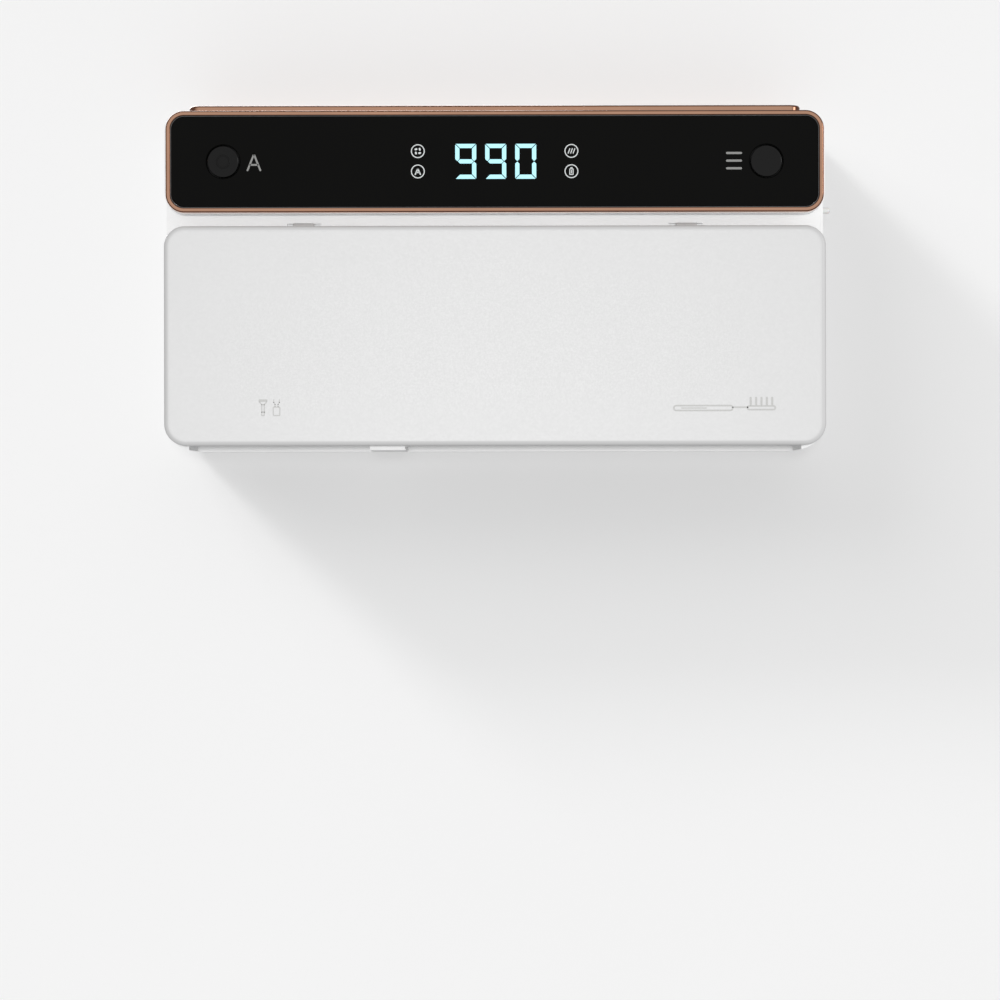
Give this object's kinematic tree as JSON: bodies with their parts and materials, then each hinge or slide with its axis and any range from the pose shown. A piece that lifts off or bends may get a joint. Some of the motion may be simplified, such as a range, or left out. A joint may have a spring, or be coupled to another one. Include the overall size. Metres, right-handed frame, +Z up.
{
  "type": "toothbrush sanitizer",
  "caption": "Wall-hung toothbrush and razor sanitizer: black glass control panel in a rose-gold rim over a white flip cover, with slotted brush rack and razor bay.",
  "frame": {"origin": "centre of the adhesive pad's wall face, behind the upper part of the housing", "axes": "+Z up, +Y into the wall, the front faces -Y, +X to the right as seen from the front"},
  "size_m": [0.2286, 0.046, 0.1187],
  "materials": {
    "cover_white": "satin moulded",
    "white_plastic": "satin moulded",
    "panel_white": "gloss moulded",
    "inner_plastic": "fine moulded",
    "rose_gold": "polished rose gold plating",
    "black_glass": "polished",
    "button_plastic": "satin",
    "display_light": "lit",
    "icon_print": "printed",
    "symbol_grey": "printed",
    "bracket_steel": "brushed",
    "pin_steel": "turned",
    "mirror_sheet": "bright rolled",
    "heater_aluminium": "plain",
    "nickel": "plated",
    "dark_plastic": "moulded",
    "circuit_board": "lacquered",
    "clear_plastic": "clear",
    "cell_wrap": "shrink wrap",
    "silicone": "soft",
    "foam_pad": "foam",
    "solar_cell": "coated cells"
  },
  "bodies": {
    "bracket": {"adhesive_pad": "foam_pad", "wall_bracket": "bracket_steel"},
    "housing": {"rear_housing": "white_plastic", "bay_ceiling": "inner_plastic", "bay_divider": "white_plastic", "reflector_panel": "mirror_sheet", "brush_rack": "inner_plastic", "razor_holder": "inner_plastic", "air_grille": "inner_plastic", "heater_core": "heater_aluminium", "fan_housing": "dark_plastic", "brush_uv_board": "circuit_board", "razor_uv_board": "circuit_board", "brush_uv_window": "clear_plastic", "razor_uv_window": "clear_plastic", "top_trim": "rose_gold", "solar_panel": "solar_cell", "panel_frame": "panel_white", "panel_bezel": "rose_gold", "panel_glass": "black_glass", "main_board": "circuit_board", "display_module": "dark_plastic", "auto_switch": "dark_plastic", "menu_switch": "dark_plastic", "fan_icon_guide": "clear_plastic", "auto_icon_guide": "clear_plastic", "heat_icon_guide": "clear_plastic", "battery_icon_guide": "clear_plastic", "battery_cell_left": "cell_wrap", "battery_cell_right": "cell_wrap", "battery_holder_left": "dark_plastic", "battery_holder_right": "dark_plastic", "lid_sensor": "dark_plastic", "charging_socket": "nickel", "hinge_pin_left": "pin_steel", "hinge_pin_right": "pin_steel", "housing_magnet_left": "nickel", "housing_magnet_right": "nickel", "case_screw_1": "pin_steel", "case_screw_2": "pin_steel", "case_screw_3": "pin_steel", "case_screw_4": "pin_steel"},
    "cover": {"front_cover": "cover_white", "cover_magnet_left": "nickel", "cover_magnet_right": "nickel"},
    "auto_button": {"auto_button": "button_plastic"},
    "menu_button": {"menu_button": "button_plastic"},
    "fan": {"fan_rotor": "dark_plastic"},
    "plug": {"port_plug": "silicone"}
  },
  "joints": [
    {"name": "bracket_lift", "type": "slide", "parent": "bracket", "child": "housing", "axis": [0, 0, 1], "range_m": [0, 0.01]},
    {"name": "cover_hinge", "type": "hinge", "parent": "housing", "child": "cover", "pos_m": [0, -0.0405, -0.0136], "axis": [-1, 0, 0], "range_deg": [0, 100]},
    {"name": "auto_press", "type": "slide", "parent": "housing", "child": "auto_button", "axis": [0, 1, 0], "range_m": [0, 0.0006], "stiffness_N_per_m": 2000},
    {"name": "menu_press", "type": "slide", "parent": "housing", "child": "menu_button", "axis": [0, 1, 0], "range_m": [0, 0.0006], "stiffness_N_per_m": 2000},
    {"name": "fan_spin", "type": "hinge", "parent": "housing", "child": "fan", "pos_m": [0.012, -0.0204, 0.0014], "axis": [0, 0, 1], "continuous": true},
    {"name": "plug_pull", "type": "slide", "parent": "housing", "child": "plug", "axis": [1, 0, 0], "range_m": [0, 0.008]}
  ]
}
